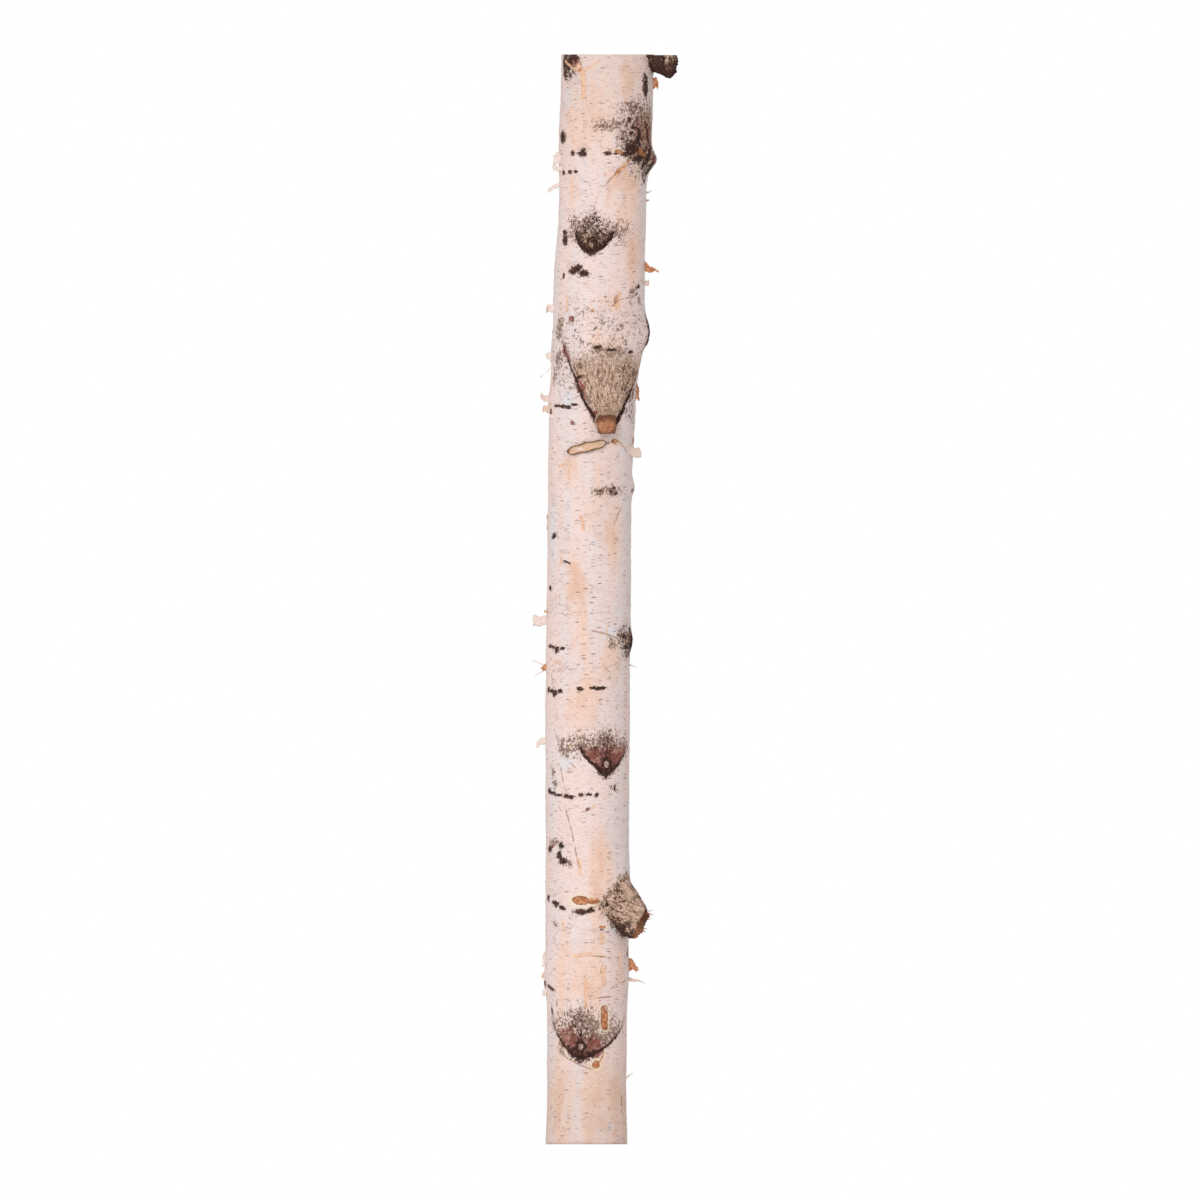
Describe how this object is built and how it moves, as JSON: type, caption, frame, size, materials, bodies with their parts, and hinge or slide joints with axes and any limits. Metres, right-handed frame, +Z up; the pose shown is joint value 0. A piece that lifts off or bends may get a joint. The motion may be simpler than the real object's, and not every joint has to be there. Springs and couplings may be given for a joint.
{
  "type": "birch log",
  "caption": "Slender length of white-birch trunk with branch collars, stubs and knots, sawn square at both ends.",
  "frame": {"origin": "centre of the lower sawn face", "axes": "+Z up along the log, -Y towards the side with the large branch collar, +X to the right seen from there"},
  "size_m": [0.1189, 0.1089, 1],
  "materials": {
    "birch_bark": "matt papery white-birch bark, pinkish cream, with dark lenticels and knots"
  },
  "bodies": {
    "root": {"birch_log": "birch_bark"}
  },
  "joints": []
}
